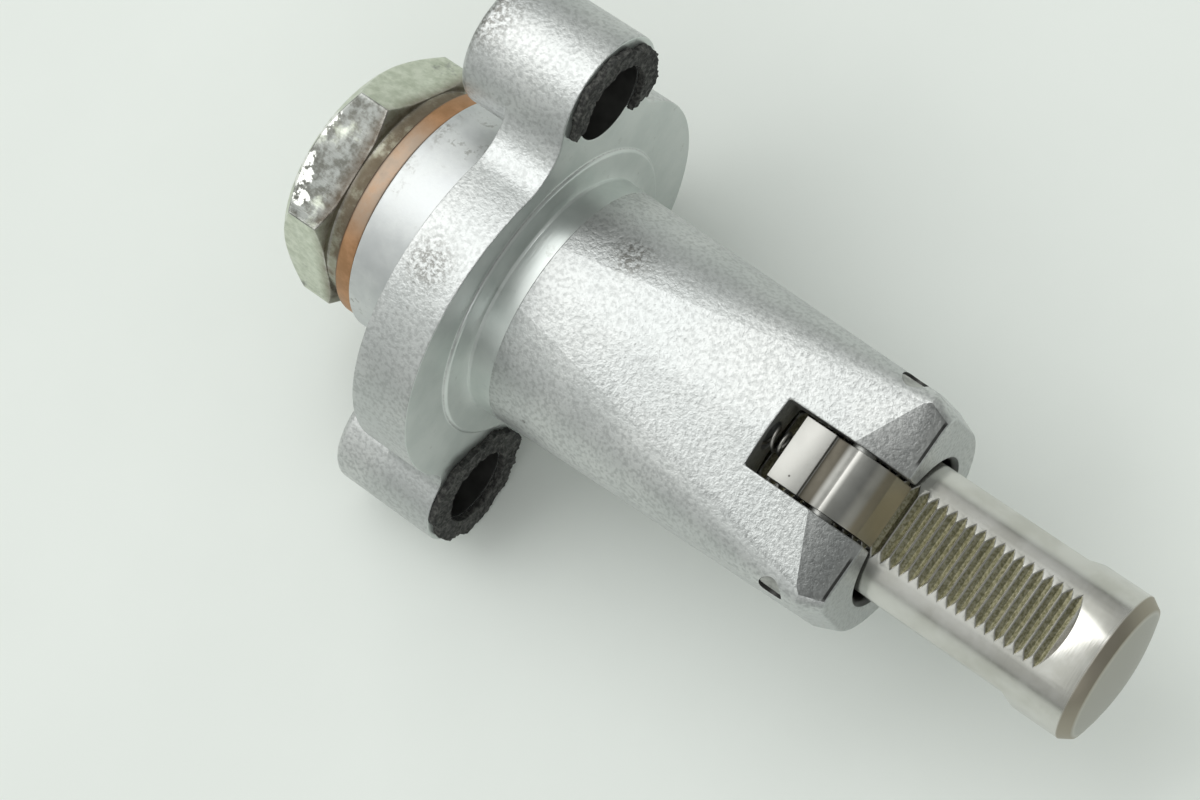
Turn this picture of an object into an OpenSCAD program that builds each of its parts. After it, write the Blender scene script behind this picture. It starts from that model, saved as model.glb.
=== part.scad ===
// Automatic timing chain tensioner with a ratchet pawl.
// A cast housing is bolted to the engine by a two-bolt flange. A hollow push rod,
// driven out by a long coil spring, carries a toothed rack, and a small pivoting pawl
// lets the rod move out but holds it against being pushed back.
// X runs along the push rod, from the cap bolt to the rod's tip. The flange's mounting
// face is the plane X = 0, the rod's axis is Y = Z = 0, and the pawl is on the +Z side.

/* [Push rod] */
// Diameter of the push rod
rod_d = 12; // [10:0.1:13]
// Length of the push rod from its rear end to its crowned tip
rod_length = 41.6; // [40:0.1:42.5]
// How far the rod's tip stands out of the nose
rod_reach = 18.9; // [18:0.1:21]
// Length of the chamfer at the tip
tip_chamfer_length = 0.8; // [0.4:0.1:1.2]
// Depth of the chamfer at the tip
tip_chamfer_depth = 0.5; // [0.2:0.1:1]
// Height of the crown on the end face
tip_crown = 0.8; // [0.4:0.1:1.2]
// Diameter of the spring bore in the rod
rod_bore_d = 8.2; // [7.8:0.1:8.8]
// Thickness of the closed end between the spring bore and the tip
rod_end_wall = 6; // [5:0.5:9]
// Distance across the two side flats
rod_flat_width = 11; // [10.4:0.1:11.6]
// Distance from the tip to the end of the side flats
rod_flat_start = 6.4; // [5.4:0.1:8]
// Chamfer at the rod's rear end
rod_rear_chamfer = 0.5; // [0.3:0.1:0.8]

/* [Rack and pawl] */
// Distance from one rack tooth to the next
tooth_pitch = 0.816; // [0.7:0.004:0.9]
// Number of grooves in the rack
tooth_count = 31; // [30:1:34]
// Height of the tooth crests above the rod's axis
rack_crest = 5.53; // [5.4:0.01:5.6]
// Distance from the rod's tip to the first groove
rack_start = 4.9; // [4.5:0.1:6]
// Number of grooves that the pawl's teeth sit in
pawl_teeth = 3; // [2:1:3]
// Gap between the pawl's teeth and the rack
tooth_clearance = 0.05; // [0.04:0.01:0.08]
// Width of the pawl
pawl_width = 5.1; // [4.6:0.1:5.4]
// Metal between the pivot hole and the pawl's underside
pawl_wall = 0.33; // [0.3:0.01:0.5]
// Distance of the pivot behind the nose face
pivot_setback = 4; // [3.8:0.1:4.3]
// Diameter of the pivot pin
pin_d = 2; // [1.6:0.1:2]
// Chamfer at the pin's ends
pin_chamfer = 0.35; // [0.2:0.05:0.5]
// How far the pin's ends lie inside the shoulders
pin_recess = 0.9; // [0.8:0.1:1.2]
// Radius of the pawl's barrel round the pivot
pawl_barrel_r = 1.85; // [1.8:0.05:2]
// Length of the pawl's tail behind the pivot
pawl_tail = 4.5; // [4.2:0.1:4.8]
// Length of the pawl's lip in front of its first tooth
pawl_lip = 0.57; // [0.5:0.01:0.65]
// Height of the tail's flat top above the pivot
pawl_tail_top = 1.7; // [1.6:0.05:1.85]
// Height of the tail's underside above the pivot
pawl_tail_bottom = -0.3; // [-0.3:0.05:0]
// Gap between the pawl's underside and the rack
pawl_under_gap = 0.3; // [0.25:0.05:0.35]
// Radius of the crowned front of the pawl
pawl_crown_r = 4.6; // [4.2:0.1:5.2]
// Length of the slope at the pawl's front
pawl_slope_length = 1.4; // [1:0.1:1.8]
// Radius of the hollow across the pawl's top
pawl_hollow_r = 2.6; // [2.4:0.1:3]
// Depth of the hollow below the tail's top
pawl_hollow_depth = 0.43; // [0.3:0.01:0.45]
// Distance of the hollow's deepest line behind the pivot
pawl_hollow_setback = 1.6; // [1.5:0.05:1.7]
// Distance of the hollow's steep rear wall behind its deepest line
pawl_hollow_step = 0.3; // [0.2:0.05:0.4]

/* [Housing] */
// Distance from the mounting face to the nose face
nose_length = 33.2; // [32.5:0.1:36]
// Radius of the housing beside the flange
body_root_r = 10.15; // [9.8:0.05:10.8]
// Radius of the housing at the pawl
body_nose_r = 9.35; // [9.2:0.05:9.7]
// Radius of the nose face
nose_face_r = 8.6; // [8.3:0.1:9]
// Length of the bevel round the nose
nose_bevel_length = 1.8; // [1.2:0.1:2.4]
// Half width of the shoulders that carry the pivot pin
shoulder_half_width = 9.1; // [8.9:0.05:9.2]
// Rounding of the shoulders
shoulder_r = 1.6; // [1.5:0.1:1.8]
// Height of the pivot above the centre of the shoulder rounding
shoulder_drop = 0.3; // [0.2:0.1:0.5]
// Length of the slope cut on the top of the nose
slope_length = 4.2; // [3.8:0.1:4.6]
// Height of the slope's rear edge above the pivot
slope_rear_rise = 1.85; // [1.75:0.05:1.95]
// Height that the slope loses from its rear edge to its front edge
slope_fall = 1.2; // [1:0.1:1.5]
// Width of the pawl slot
slot_width = 5.7; // [5.5:0.1:6.2]
// Length of the pawl slot from the nose face
slot_length = 10.15; // [10:0.05:10.8]
// Chamfer at the mouth of the rod bore
mouth_chamfer = 0.4; // [0.2:0.1:0.6]
// Radius of the cylinder behind the flange
rear_r = 10.2; // [9.9:0.1:11]
// Distance from the mounting face to the rear face
rear_length = 11.4; // [11:0.1:13]

/* [Flange] */
// Thickness of the flange
flange_thickness = 5.2; // [4:0.1:6]
// Radius of the flange's lobe under the pawl side
near_lobe_r = 14.5; // [14:0.1:15]
// Y of that lobe's centre
near_lobe_y = -2.3; // [-2.6:0.1:-2]
// Z of that lobe's centre
near_lobe_z = 0.6; // [0.4:0.1:0.8]
// Radius of the flange's other lobe
far_lobe_r = 13; // [12.8:0.1:14]
// Y of the other lobe's centre
far_lobe_y = 4.1; // [3.8:0.1:4.4]
// Z of the other lobe's centre
far_lobe_z = -0.6; // [-0.8:0.1:-0.4]
// Fillet between the near lobe and the upper boss
neck_fillet = 4; // [3:0.5:5]
// Fillet on the tight side of each boss
heel_fillet = 2; // [1.5:0.5:3]
// Fillet between the far lobe and the lower boss
waist_fillet = 6; // [5:0.5:7]
// Radius of the raised register round the housing
register_r = 12.6; // [11.8:0.1:12.8]
// Height of the raised register
register_height = 0.3; // [0.2:0.1:0.8]
// Radius of the turned fillet between the register and the barrel
seat_fillet_r = 1.9; // [1.2:0.1:2.1]
// Radius of the bolt bosses
boss_r = 5.35; // [5:0.05:5.6]
// Length of the bolt bosses
boss_length = 9.8; // [8:0.1:11]
// Rounding of the bosses' rear edges
boss_edge_r = 0.8; // [0.4:0.1:1.2]
// Diameter of the bolt holes
bolt_hole_d = 6.4; // [5.4:0.1:6.8]
// Y of the upper bolt
upper_bolt_y = 13.2; // [12.6:0.1:13.8]
// Z of the upper bolt
upper_bolt_z = 12.1; // [11.6:0.1:12.6]
// Y of the lower bolt
lower_bolt_y = -15.5; // [-16:0.1:-15]
// Z of the lower bolt
lower_bolt_z = -9.7; // [-10.2:0.1:-9.2]

/* [Cap bolt and sealing washer] */
// Width across the flats of the cap bolt's hexagon
hex_across_flats = 18.2; // [17:0.1:19]
// Height of the hexagon
hex_height = 4.6; // [4:0.1:6]
// Height of the plain collar under the hexagon
collar_height = 1.5; // [1:0.1:1.8]
// Turn of the hexagon about the rod's axis, in degrees
hex_turn = 8; // [0:1:30]
// Length of the bevel at the hexagon's outer end
hex_bevel = 1.5; // [1:0.1:1.8]
// Inset of that bevel from the flats
hex_bevel_inset = 0.4; // [0.2:0.1:0.8]
// Bevel of the corners beside the collar
hex_rear_bevel = 0.6; // [0.3:0.1:0.8]
// Inset of the collar from the hexagon's flats
collar_inset = 0.1; // [0.1:0.1:0.4]
// Chamfer at the shank's end
shank_chamfer = 0.8; // [0.4:0.1:1.2]
// Diameter of the cap bolt's shank
shank_d = 14; // [13.4:0.1:15]
// Length of the shank from the collar
shank_length = 8.2; // [7.4:0.1:8.2]
// Outer radius of the copper washer
washer_r = 9.9; // [9:0.1:10.4]
// Thickness of the copper washer
washer_thickness = 1.7; // [1:0.1:2]

/* [Springs] */
// Wire diameter of the main spring
main_wire_d = 1; // [0.8:0.1:1.2]
// Number of turns of the main spring
main_turns = 18; // [14:1:20]
// Wire diameter of the pawl spring
pawl_wire_d = 0.32; // [0.26:0.02:0.36]
// Outer diameter of the pawl spring
pawl_spring_d = 2; // [1.8:0.1:2.1]
// Number of turns of the pawl spring
pawl_turns = 6; // [5:1:7]
// Depth of the spring pocket behind the pawl slot
pocket_depth = 3.5; // [3:0.1:4.5]

/* [Gasket remnants] */
// Thickness of the torn gasket
gasket_thickness = 0.6; // [0.4:0.1:0.8]
// Depth of the ragged edge
gasket_tear = 0.22; // [0.1:0.02:0.3]
// Distance of the upper remnant's torn line from the bolt, towards the rod
upper_tear_line = 1.3; // [0.8:0.1:2]

/* [Fits] */
// Radial running clearance of the push rod in its bore
rod_clearance = 0.05; // [0.02:0.01:0.08]
// Radial running clearance of the pawl on its pin
pivot_clearance = 0.04; // [0.02:0.01:0.06]
// Radial gap of a piece that is pushed into its hole
push_clearance = 0.01; // [0.01:0.005:0.03]
// Radial gap of the cap bolt in its thread
thread_clearance = 0.05; // [0.03:0.01:0.08]
// Gap at the ends of the springs
spring_end_gap = 0.1; // [0.05:0.05:0.2]
// Radial gap round the springs
spring_side_gap = 0.15; // [0.1:0.05:0.25]

/* [Hidden] */
$fn = 96;
// Spare length of a cutting shape past the face that it cuts
over = 1;
// Facets of the lofted housing sections
loft_fn = 72;
// Thickness of a loft section
loft_slice = 0.01;
// Steps of a turned arc
arc_steps = 6;
// Spare radius that keeps a turned cut clear of the hexagon's corners
corner_spare = 0.1;
// Angle between the points of a torn outline
torn_step = 6;
// Length between the points of a torn line
torn_line_step = 0.5;

rod_r = rod_d / 2;
bore_r = rod_r + rod_clearance;
tip_x = nose_length + rod_reach;
rod_rear_x = tip_x - rod_length;
tip_edge_x = tip_x - tip_crown;
tip_edge_r = rod_r - tip_chamfer_depth;
rod_bore_end_x = tip_x - rod_end_wall;
tooth_depth = tooth_pitch / 2;
rack_root = rack_crest - tooth_depth;
first_groove_x = tip_x - rack_start;
last_groove_x = first_groove_x - (tooth_count - 1) * tooth_pitch;
rack_run_out = rod_r + over - rack_root;

pivot_x = nose_length - pivot_setback;
pin_r = pin_d / 2;
pivot_hole_r = pin_r + pivot_clearance;
pivot_height = rack_crest + pawl_under_gap + pawl_wall + pivot_hole_r;
shoulder_height = pivot_height - shoulder_drop;
slope_rear_height = pivot_height + slope_rear_rise;
seat_length = register_height + seat_fillet_r + loft_slice;
pawl_rear_x = pivot_x - pawl_tail;
pawl_front_x = nose_length - tooth_clearance;
pawl_under_z = rack_crest + pawl_under_gap;
// The groove that the pawl's foremost tooth sits in
front_groove_x = first_groove_x
    - ceil((first_groove_x - pawl_front_x + pawl_lip) / tooth_pitch) * tooth_pitch;
slot_rear_x = nose_length - slot_length;

washer_front_x = -rear_length;
washer_rear_x = washer_front_x - washer_thickness;
hex_front_x = washer_rear_x - collar_height;
hex_rear_x = hex_front_x - hex_height;
shank_r = shank_d / 2;
shank_end_x = washer_rear_x + shank_length;
main_spring_r = rod_bore_d / 2 - spring_side_gap - main_wire_d / 2;
socket_r = rod_bore_d / 2;
socket_end_x = hex_front_x;
pawl_spring_z = pivot_height + (pawl_tail_top + pawl_tail_bottom) / 2 - pawl_wire_d / 2;

// A tube or bar of radius r along X from x0 to x1
module along_x(x0, x1, r) {
    translate([x0, 0, 0]) rotate([0, 90, 0]) cylinder(h = x1 - x0, r = r);
}

// A turned shape from a profile of [radius, x] points
module turned_x(profile) {
    rotate([0, 90, 0]) rotate_extrude() polygon(profile);
}

// Points of an arc of radius r about a centre, from angle a to angle b
function arc(centre, r, a, b) =
    [for (i = [0 : arc_steps]) let (t = a + (b - a) * i / arc_steps) centre + r * [cos(t), sin(t)]];

// A plate with its outline in Y and Z, from x0 to x1
module plate_x(x0, x1) {
    translate([x0, 0, 0]) rotate([90, 0, 90]) linear_extrude(x1 - x0) children();
}

// A bar with its outline in X and Z, of the given width across Y
module bar_y(width) {
    rotate([90, 0, 0]) linear_extrude(width, center = true) children();
}

// Centre of the circle of radius r that touches circles a and b from outside, on the left of a to b
function touching_centre(a, ra, b, rb, r) =
    let (d = norm(b - a), u = (b - a) / d, n = [-u[1], u[0]],
         along = ((ra + r) * (ra + r) - (rb + r) * (rb + r) + d * d) / (2 * d),
         off = sqrt((ra + r) * (ra + r) - along * along))
    a + along * u + off * n;

// A concave fillet between two round outlines
module outline_fillet(a, ra, b, rb, r) {
    c = touching_centre(a, ra, b, rb, r);
    difference() {
        polygon([a, c, b]);
        translate(c) circle(r);
    }
}

// Points of a ring of wire round a helix along X, for one step of the sweep
function coil_ring(a, r, wire_r, x, sides) =
    [for (k = [0 : sides - 1])
        let (t = 360 * k / sides, q = r + wire_r * cos(t))
        [x + wire_r * sin(t), q * cos(a), q * sin(a)]];

// A coil spring along X whose end turns lie close
module coil_x(x0, x1, r, wire_r, turns) {
    sides = 8;
    per_turn = 14;
    steps = turns * per_turn;
    closed = 1.2;
    start = x0 + wire_r;
    run = x1 - x0 - 2 * wire_r;
    dense = 2.1 * wire_r;
    open_pitch = (run - 2 * closed * dense) / (turns - 2 * closed);
    function coil_x_at(n) =
        n < closed ? start + n * dense
        : n > turns - closed ? start + run - (turns - n) * dense
        : start + closed * dense + (n - closed) * open_pitch;
    points = [for (i = [0 : steps], p = coil_ring(360 * i / per_turn, r, wire_r, coil_x_at(i / per_turn), sides)) p];
    sides_faces = [for (i = [0 : steps - 1], k = [0 : sides - 1], half = [0, 1])
        let (m = (k + 1) % sides, a = i * sides + k, b = i * sides + m, c = a + sides, d = b + sides)
        half == 0 ? [a, b, d] : [a, d, c]];
    first_cap = [for (k = [0 : sides - 1]) sides - 1 - k];
    last_cap = [for (k = [0 : sides - 1]) steps * sides + k];
    polyhedron(points, concat(sides_faces, [first_cap, last_cap]));
}

/* Housing */

// Cross-section of the housing at the pawl: round below, with shoulders for the pin above
module nose_section(r, half_width) {
    circle(r, $fn = loft_fn);
    for (side = [-1, 1])
        translate([side * (half_width - shoulder_r), shoulder_height]) circle(shoulder_r, $fn = loft_fn);
}

// The cast barrel, round at the flange and shouldered at the pawl
module barrel() {
    bevel_x = nose_length - nose_bevel_length;
    nose_scale = nose_face_r / body_nose_r;
    hull() {
        plate_x(seat_length, seat_length + loft_slice) circle(body_root_r, $fn = loft_fn);
        plate_x(bevel_x - loft_slice, bevel_x) nose_section(body_nose_r, shoulder_half_width);
        plate_x(nose_length - loft_slice, nose_length)
            scale(nose_scale) nose_section(body_nose_r, shoulder_half_width);
    }
}

// Outline of the flange: two lobes and two bolt bosses, blended by fillets
module flange_outline() {
    near_lobe = [near_lobe_y, near_lobe_z];
    far_lobe = [far_lobe_y, far_lobe_z];
    upper = [upper_bolt_y, upper_bolt_z];
    lower = [lower_bolt_y, lower_bolt_z];
    translate(near_lobe) circle(near_lobe_r);
    translate(far_lobe) circle(far_lobe_r);
    translate(upper) circle(boss_r);
    translate(lower) circle(boss_r);
    outline_fillet(near_lobe, near_lobe_r, upper, boss_r, neck_fillet);
    outline_fillet(upper, boss_r, far_lobe, far_lobe_r, heel_fillet);
    outline_fillet(far_lobe, far_lobe_r, lower, boss_r, waist_fillet);
    outline_fillet(lower, boss_r, near_lobe, near_lobe_r, heel_fillet);
}

// Runs the children at both bolts
module at_bolts() {
    for (p = [[upper_bolt_y, upper_bolt_z], [lower_bolt_y, lower_bolt_z]])
        translate([0, p[0], p[1]]) children();
}

// The slope on the top of the nose, as the bar that is cut away
module nose_slope() {
    slope_top = body_root_r + over;
    fall = slope_fall / slope_length;
    start_x = nose_length - slope_length;
    bar_y(4 * shoulder_half_width)
        polygon([[start_x - over, slope_rear_height + fall * over],
                 [nose_length + over, slope_rear_height - slope_fall - fall * over],
                 [nose_length + over, slope_top + fall * over],
                 [start_x - over, slope_top + fall * over]]);
}

// The turned middle of the housing: rear cylinder, register, and the fillet up to the barrel
module turned_core() {
    fillet_centre = [body_root_r + seat_fillet_r, register_height + seat_fillet_r];
    turned_x(concat(
        [[0, -rear_length], [rear_r, -rear_length], [rear_r, 0],
         [register_r, 0], [register_r - register_height / 2, register_height]],
        arc(fillet_centre, seat_fillet_r, 270, 180),
        [[body_root_r, seat_length], [0, seat_length]]));
}

// A bolt boss with a rounded rear edge
module boss() {
    turned_x(concat(
        [[0, 0], [0, -boss_length]],
        arc([boss_r - boss_edge_r, boss_edge_r - boss_length], boss_edge_r, 270, 360),
        [[boss_r, 0]]));
}

module tensioner_body() {
    color("silver") difference() {
        union() {
            barrel();
            turned_core();
            plate_x(-flange_thickness, 0) flange_outline();
            at_bolts() boss();
        }
        nose_slope();
        along_x(-rear_length - over, nose_length + over, bore_r);
        turned_x([[0, nose_length - mouth_chamfer], [bore_r, nose_length - mouth_chamfer],
                  [bore_r + mouth_chamfer + over, nose_length + over], [0, nose_length + over]]);
        along_x(-rear_length - over, shank_end_x + over, shank_r + thread_clearance);
        bar_y(slot_width)
            polygon([[slot_rear_x, 0], [nose_length + over, 0],
                     [nose_length + over, body_root_r + over], [slot_rear_x, body_root_r + over]]);
        translate([0, 0, pawl_spring_z])
            along_x(slot_rear_x - pocket_depth, slot_rear_x + over, pawl_spring_d / 2 + spring_side_gap);
        translate([pivot_x, 0, pivot_height]) rotate([90, 0, 0])
            cylinder(h = 4 * shoulder_half_width, r = pin_r + push_clearance, center = true);
        at_bolts() along_x(-boss_length - over, over, bolt_hole_d / 2);
    }
}

/* Push rod */

// Outline, in X and Z, of what the rack's cutter takes away
function rack_cut() = concat(
    [[first_groove_x + rack_run_out, rack_root + rack_run_out]],
    [for (k = [0 : tooth_count - 1], half = [0, 1])
        let (x = first_groove_x - k * tooth_pitch)
        if (half == 0 || k < tooth_count - 1)
            half == 0 ? [x, rack_root] : [x - tooth_pitch / 2, rack_crest]],
    [[last_groove_x - rack_run_out, rack_root + rack_run_out]]);

// Points of the crowned end face as an arc over the edge radius
function crown_profile(steps) =
    let (r = (tip_edge_r * tip_edge_r + tip_crown * tip_crown) / (2 * tip_crown),
         half = asin(tip_edge_r / r))
    [for (i = [0 : steps]) let (a = half * (1 - i / steps)) [r * sin(a), tip_x - r + r * cos(a)]];

// A side flat of the rod, with its run-out towards the tip
module rod_side_flat() {
    flat_y = rod_flat_width / 2;
    flat_end_x = tip_x - rod_flat_start;
    run_out = rod_r - flat_y + over;
    linear_extrude(2 * rod_r + 2 * over, center = true)
        polygon([[rod_rear_x - over, flat_y], [flat_end_x, flat_y],
                 [flat_end_x + 2 * run_out, flat_y + run_out], [rod_rear_x - over, flat_y + run_out]]);
}

module push_rod() {
    bore_cone = rod_bore_d / 4;
    color("lightsteelblue") difference() {
        turned_x(concat(
            [[0, rod_rear_x], [rod_r - rod_rear_chamfer, rod_rear_x],
             [rod_r, rod_rear_x + rod_rear_chamfer],
             [rod_r, tip_edge_x - tip_chamfer_length]],
            crown_profile(arc_steps)));
        bar_y(2 * rod_d) polygon(rack_cut());
        rod_side_flat();
        mirror([0, 1, 0]) rod_side_flat();
        turned_x([[0, rod_rear_x - over], [rod_bore_d / 2, rod_rear_x - over],
                  [rod_bore_d / 2, rod_bore_end_x], [0, rod_bore_end_x + bore_cone]]);
    }
}

/* Pawl */

// Underside of the pawl's teeth: points that fit into the rack, front to rear
function pawl_tooth_line() =
    [for (k = [0 : pawl_teeth - 1], half = [0, 1])
        let (x = front_groove_x - k * tooth_pitch, lift = sqrt(2) * tooth_clearance)
        half == 0 ? [x, rack_root + lift] : [x - tooth_pitch / 2, rack_crest + lift]];

// The pawl's front, with the teeth below and a crowned back above
module pawl_front() {
    nose_z = rack_crest + tooth_depth;
    slope_x = pawl_front_x - pawl_slope_length;
    top_z = pivot_height + pawl_barrel_r;
    rear_tooth_x = front_groove_x - (pawl_teeth - 0.5) * tooth_pitch;
    intersection() {
        translate([pivot_x, top_z - pawl_crown_r]) circle(pawl_crown_r);
        polygon(concat(
            [[slope_x, top_z], [pawl_front_x, nose_z],
             [front_groove_x + tooth_pitch / 2, rack_crest + sqrt(2) * tooth_clearance]],
            pawl_tooth_line(),
            [[rear_tooth_x - tooth_clearance, pawl_under_z], [pivot_x, pawl_under_z], [pivot_x, top_z]]));
    }
}

// The pawl's barrel round the pin, flat below where it passes over the rack
module pawl_barrel() {
    intersection() {
        translate([pivot_x, pivot_height]) circle(pawl_barrel_r);
        translate([pivot_x - pawl_barrel_r, pawl_under_z]) square(2 * pawl_barrel_r);
    }
}

module pawl_outline() {
    difference() {
        union() {
            pawl_barrel();
            pawl_front();
            translate([pawl_rear_x, pivot_height + pawl_tail_bottom])
                square([pawl_tail, pawl_tail_top - pawl_tail_bottom]);
        }
        translate([pivot_x - pawl_hollow_setback,
                   pivot_height + pawl_tail_top + pawl_hollow_r - pawl_hollow_depth])
            intersection() {
                circle(pawl_hollow_r);
                translate([-pawl_hollow_step, -pawl_hollow_r]) square(2 * pawl_hollow_r);
            }
    }
}

module ratchet_pawl() {
    color("gainsboro") difference() {
        bar_y(pawl_width) pawl_outline();
        translate([pivot_x, 0, pivot_height]) rotate([90, 0, 0])
            cylinder(h = 2 * pawl_width, r = pivot_hole_r, center = true);
    }
}

module pawl_pivot_pin() {
    half = shoulder_half_width - pin_recess;
    edge = pin_r - pin_chamfer;
    color("dimgray") translate([pivot_x, 0, pivot_height]) rotate([90, 0, 0]) rotate_extrude()
        polygon([[0, -half], [edge, -half], [pin_r, pin_chamfer - half],
                 [pin_r, half - pin_chamfer], [edge, half], [0, half]]);
}

module pawl_spring() {
    color("darkgray") translate([0, 0, pawl_spring_z])
        coil_x(slot_rear_x - pocket_depth + spring_end_gap, pawl_rear_x - spring_end_gap,
               (pawl_spring_d - pawl_wire_d) / 2, pawl_wire_d / 2, pawl_turns);
}

module main_spring() {
    color("dimgray")
        coil_x(socket_end_x + spring_end_gap, rod_bore_end_x - spring_end_gap,
               main_spring_r, main_wire_d / 2, main_turns);
}

/* Cap bolt, washer and gasket remnants */

module cap_bolt() {
    hex_corner_r = hex_across_flats / sqrt(3);
    flat_r = hex_across_flats / 2;
    envelope_r = hex_corner_r + corner_spare;
    color("darkseagreen") difference() {
        union() {
            along_x(hex_front_x, washer_rear_x, flat_r - collar_inset);
            intersection() {
                plate_x(hex_rear_x, hex_front_x) rotate(hex_turn) circle(hex_corner_r, $fn = 6);
                turned_x([[0, hex_rear_x], [flat_r - hex_bevel_inset, hex_rear_x],
                          [envelope_r, hex_rear_x + hex_bevel],
                          [envelope_r, hex_front_x - hex_rear_bevel],
                          [envelope_r - 2 * hex_rear_bevel, hex_front_x], [0, hex_front_x]]);
            }
            turned_x([[0, washer_rear_x], [shank_r, washer_rear_x], [shank_r, shank_end_x - shank_chamfer],
                      [shank_r - shank_chamfer, shank_end_x], [0, shank_end_x]]);
        }
        along_x(socket_end_x, shank_end_x + over, socket_r);
    }
}

module sealing_washer() {
    color("peru") turned_x([[shank_r + thread_clearance, washer_rear_x], [washer_r, washer_rear_x],
                            [washer_r, washer_front_x], [shank_r + thread_clearance, washer_front_x]]);
}

// A torn round outline, as a sum of a few waves
function torn_outline(r, phase) =
    [for (a = [0 : torn_step : 360 - torn_step])
        (r + gasket_tear * (sin(3 * a + phase) + 0.6 * sin(7 * a + 2 * phase) + 0.5 * sin(13 * a)))
        * [cos(a), sin(a)]];

// A torn straight edge across the boss, as a strip to be cut away
function torn_edge(depth, reach) = concat(
    [for (s = [-reach : torn_line_step : reach])
        [s, depth + gasket_tear * (sin(90 * s) + 0.8 * sin(205 * s) + 0.6 * sin(370 * s))]],
    [[reach, -2 * reach], [-reach, -2 * reach]]);

module upper_gasket() {
    outward = atan2(upper_bolt_z, upper_bolt_y) - 90;
    color("#2b2b2b") plate_x(0, gasket_thickness)
        translate([upper_bolt_y, upper_bolt_z]) rotate(outward) difference() {
            polygon(torn_outline(boss_r - 2 * gasket_tear, 40));
            circle(bolt_hole_d / 2);
            polygon(torn_edge(-upper_tear_line, 2 * boss_r));
        }
}

module lower_gasket() {
    color("#202020") plate_x(0, gasket_thickness)
        translate([lower_bolt_y, lower_bolt_z]) difference() {
            polygon(torn_outline(boss_r - gasket_tear, 110));
            circle(bolt_hole_d / 2);
        }
}

tensioner_body();
push_rod();
ratchet_pawl();
pawl_pivot_pin();
pawl_spring();
main_spring();
cap_bolt();
sealing_washer();
upper_gasket();
lower_gasket();
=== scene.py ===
# %% [markdown]
# Timing chain tensioner, dressed in Blender
#
# The part is a small spring-loaded device from an engine: a cast aluminium housing, a toothed steel
# push rod, a ratchet pawl on a cross pin, two springs, and a hexagon cap bolt on a copper washer.
# The solids come from CAD and are the fixed frame. This lesson gives them the finish of the real,
# used part: softened casting edges, ground steel, worn zinc plating, copper and torn gasket paper.

# %% Load the frame
import math

import bpy
from mathutils import Matrix, Vector


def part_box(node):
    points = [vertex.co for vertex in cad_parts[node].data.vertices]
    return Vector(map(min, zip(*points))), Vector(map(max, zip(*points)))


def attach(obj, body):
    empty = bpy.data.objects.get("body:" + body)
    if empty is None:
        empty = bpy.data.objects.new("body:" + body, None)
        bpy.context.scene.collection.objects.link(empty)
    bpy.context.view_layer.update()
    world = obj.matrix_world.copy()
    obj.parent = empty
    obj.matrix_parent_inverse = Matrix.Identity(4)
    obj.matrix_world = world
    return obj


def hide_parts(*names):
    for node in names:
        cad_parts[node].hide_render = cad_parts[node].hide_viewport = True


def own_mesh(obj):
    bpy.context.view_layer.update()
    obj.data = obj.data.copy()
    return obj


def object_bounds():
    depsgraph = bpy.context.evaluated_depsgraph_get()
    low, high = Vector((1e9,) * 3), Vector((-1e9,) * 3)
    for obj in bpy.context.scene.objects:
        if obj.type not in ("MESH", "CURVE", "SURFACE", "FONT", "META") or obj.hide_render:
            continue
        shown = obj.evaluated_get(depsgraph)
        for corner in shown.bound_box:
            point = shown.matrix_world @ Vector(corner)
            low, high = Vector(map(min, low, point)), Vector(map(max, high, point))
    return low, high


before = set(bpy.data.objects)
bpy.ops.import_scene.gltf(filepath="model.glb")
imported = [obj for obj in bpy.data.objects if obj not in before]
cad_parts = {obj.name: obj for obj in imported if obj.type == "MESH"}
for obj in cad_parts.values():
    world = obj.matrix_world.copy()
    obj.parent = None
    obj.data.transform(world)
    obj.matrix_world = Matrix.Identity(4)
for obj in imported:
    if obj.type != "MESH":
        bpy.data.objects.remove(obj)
cad_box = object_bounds()
MM = 0.001
print("nodes:", sorted(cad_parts))

# %% [markdown]
# The camera
#
# The photograph looks down on the part from above its nose. The camera could be placed by eye, but
# it is steadier to describe it as a photographer would: the point that it aims at, how far away it
# stands, from which side and how high, and how far the picture is turned.

# %% Camera
AIM_POINT = Vector((11.38, -4.84, 9.0)) * MM
CAMERA_DISTANCE = 220 * MM
CAMERA_AZIMUTH = math.radians(86.39)
CAMERA_ELEVATION = math.radians(70.53)
CAMERA_TURN = math.radians(-51.64)
LENS_MM = 92.1
SENSOR_MM = 36.0


def place_camera():
    towards_camera = Vector((
        math.sin(CAMERA_AZIMUTH) * math.cos(CAMERA_ELEVATION),
        -math.cos(CAMERA_AZIMUTH) * math.cos(CAMERA_ELEVATION),
        math.sin(CAMERA_ELEVATION)))
    level = towards_camera.to_track_quat("Z", "Y").to_matrix().to_4x4()
    turned = level @ Matrix.Rotation(CAMERA_TURN, 4, "Z")
    bpy.ops.object.camera_add()
    camera = bpy.context.active_object
    camera.name = "photo_camera"
    camera.matrix_world = Matrix.Translation(AIM_POINT + towards_camera * CAMERA_DISTANCE) @ turned
    camera.data.lens = LENS_MM
    camera.data.sensor_width = SENSOR_MM
    bpy.context.scene.camera = camera
    return camera


camera = place_camera()
print("camera stands at", [round(c / MM, 1) for c in camera.location], "mm")

# %% [markdown]
# Small helpers for modelling
#
# Operators act on what is selected, so each step first deselects everything and makes one piece
# active. A CAD node's mesh is loose triangles. To bevel its edges, a copy is welded into one skin
# first, and flat neighbours are joined again into whole faces.

# %% Modelling helpers
WELD_DISTANCE = 0.0005 * MM
PLANE_ANGLE = math.radians(0.5)
SMOOTH_DEGREES = 35
ROUND_DEGREES = 60


def activate(piece):
    bpy.ops.object.select_all(action="DESELECT")
    piece.select_set(True)
    bpy.context.view_layer.objects.active = piece


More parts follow.
